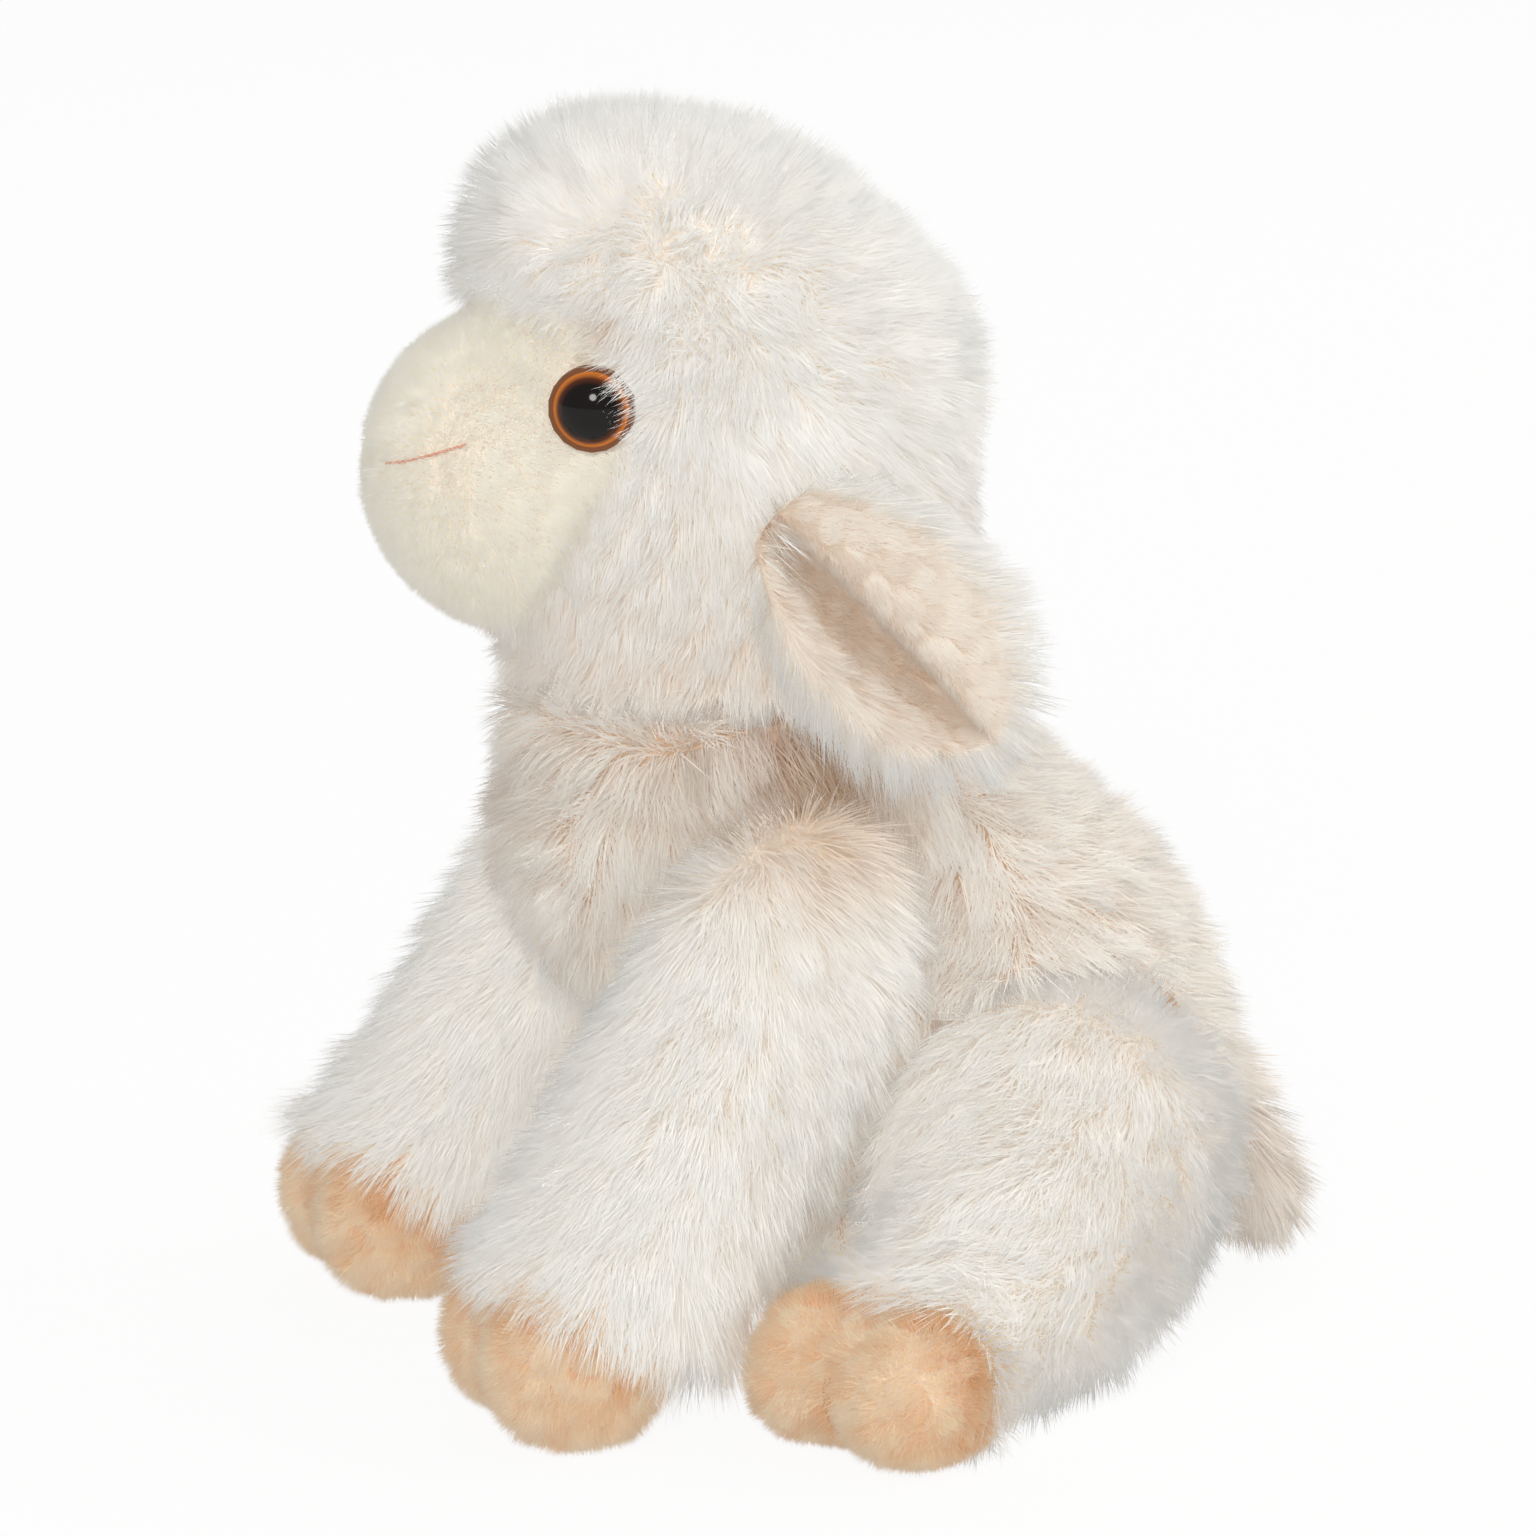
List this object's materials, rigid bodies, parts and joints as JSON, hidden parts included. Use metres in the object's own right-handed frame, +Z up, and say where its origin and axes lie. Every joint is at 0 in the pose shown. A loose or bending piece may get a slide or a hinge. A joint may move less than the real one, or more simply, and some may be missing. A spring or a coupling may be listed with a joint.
{
  "type": "plush lamb",
  "caption": "Sitting plush lamb with woolly covers, short-pile face, amber safety eyes, drooping lined ears, tan cloven hooves and soft hinged limbs.",
  "frame": {"origin": "centre of the flat seat that the lamb sits on, on the floor", "axes": "+Z up, -X the way the lamb faces, +Y its right side; it is the same on both sides of Y = 0"},
  "size_m": [0.1767, 0.2034, 0.221],
  "materials": {
    "plush": "matte",
    "body_plush": "matte",
    "face_plush": "matte",
    "hoof_plush": "matte",
    "lining_cloth": "matte",
    "stuffing": "matte",
    "pouch_cloth": "matte",
    "mouth_thread": "satin",
    "hoof_thread": "satin",
    "eye_dome": "gloss",
    "eye_back": "gloss",
    "washer": "matte"
  },
  "bodies": {
    "torso": {"torso_cover_left": "body_plush", "torso_cover_right": "body_plush", "seat_panel": "body_plush", "torso_stuffing": "stuffing", "pellet_pouch": "pouch_cloth"},
    "neck": {"neck_wadding": "stuffing"},
    "head": {"head_cover_left": "plush", "head_cover_right": "plush", "face_cover": "face_plush", "head_stuffing": "stuffing", "mouth_stitch": "mouth_thread", "eye_dome_left": "eye_dome", "eye_back_left": "eye_back", "eye_washer_left": "washer", "eye_dome_right": "eye_dome", "eye_back_right": "eye_back", "eye_washer_right": "washer"},
    "ear_left": {"ear_back_left": "plush", "ear_lining_left": "lining_cloth"},
    "ear_right": {"ear_back_right": "plush", "ear_lining_right": "lining_cloth"},
    "front_leg_left": {"front_leg_cover_left": "plush", "front_leg_stuffing_left": "stuffing", "front_leg_hoof_left": "hoof_plush", "front_leg_cleft_stitch_left": "hoof_thread"},
    "front_leg_right": {"front_leg_cover_right": "plush", "front_leg_stuffing_right": "stuffing", "front_leg_hoof_right": "hoof_plush", "front_leg_cleft_stitch_right": "hoof_thread"},
    "hind_leg_left": {"hind_leg_cover_left": "plush", "hind_leg_stuffing_left": "stuffing", "hind_leg_hoof_left": "hoof_plush", "hind_leg_cleft_stitch_left": "hoof_thread"},
    "hind_leg_right": {"hind_leg_cover_right": "plush", "hind_leg_stuffing_right": "stuffing", "hind_leg_hoof_right": "hoof_plush", "hind_leg_cleft_stitch_right": "hoof_thread"},
    "tail": {"tail_cover": "plush", "tail_stuffing": "stuffing"}
  },
  "joints": [
    {"name": "head_turn", "type": "hinge", "parent": "torso", "child": "neck", "pos_m": [-0.04, 0, 0.1213], "axis": [0, 0, 1], "range_deg": [-20, 20], "stiffness_Nm_per_rad": 0.8},
    {"name": "head_nod", "type": "hinge", "parent": "neck", "child": "head", "pos_m": [-0.04, 0, 0.1213], "axis": [0, 1, 0], "range_deg": [-6, 6], "stiffness_Nm_per_rad": 1.2},
    {"name": "ear_lift_left", "type": "hinge", "parent": "head", "child": "ear_left", "pos_m": [-0.044, -0.0455, 0.162], "axis": [-0.8478, 0.2592, -0.4626], "range_deg": [0, 50]},
    {"name": "ear_lift_right", "type": "hinge", "parent": "head", "child": "ear_right", "pos_m": [-0.044, 0.0455, 0.162], "axis": [0.8478, 0.2592, 0.4626], "range_deg": [0, 50]},
    {"name": "front_leg_swing_left", "type": "hinge", "parent": "torso", "child": "front_leg_left", "pos_m": [-0.046, -0.037, 0.083], "axis": [0, 1, 0], "range_deg": [0, 25], "stiffness_Nm_per_rad": 0.6},
    {"name": "front_leg_swing_right", "type": "hinge", "parent": "torso", "child": "front_leg_right", "pos_m": [-0.046, 0.037, 0.083], "axis": [0, 1, 0], "range_deg": [0, 25], "stiffness_Nm_per_rad": 0.6},
    {"name": "hind_leg_swing_left", "type": "hinge", "parent": "torso", "child": "hind_leg_left", "pos_m": [0.001, -0.031, 0.0355], "axis": [0, 1, 0], "range_deg": [0, 8], "stiffness_Nm_per_rad": 0.6},
    {"name": "hind_leg_swing_right", "type": "hinge", "parent": "torso", "child": "hind_leg_right", "pos_m": [0.001, 0.031, 0.0355], "axis": [0, 1, 0], "range_deg": [0, 8], "stiffness_Nm_per_rad": 0.6},
    {"name": "tail_lift", "type": "hinge", "parent": "torso", "child": "tail", "pos_m": [0.042, 0, 0.044], "axis": [0, -1, 0], "range_deg": [0, 35]}
  ]
}
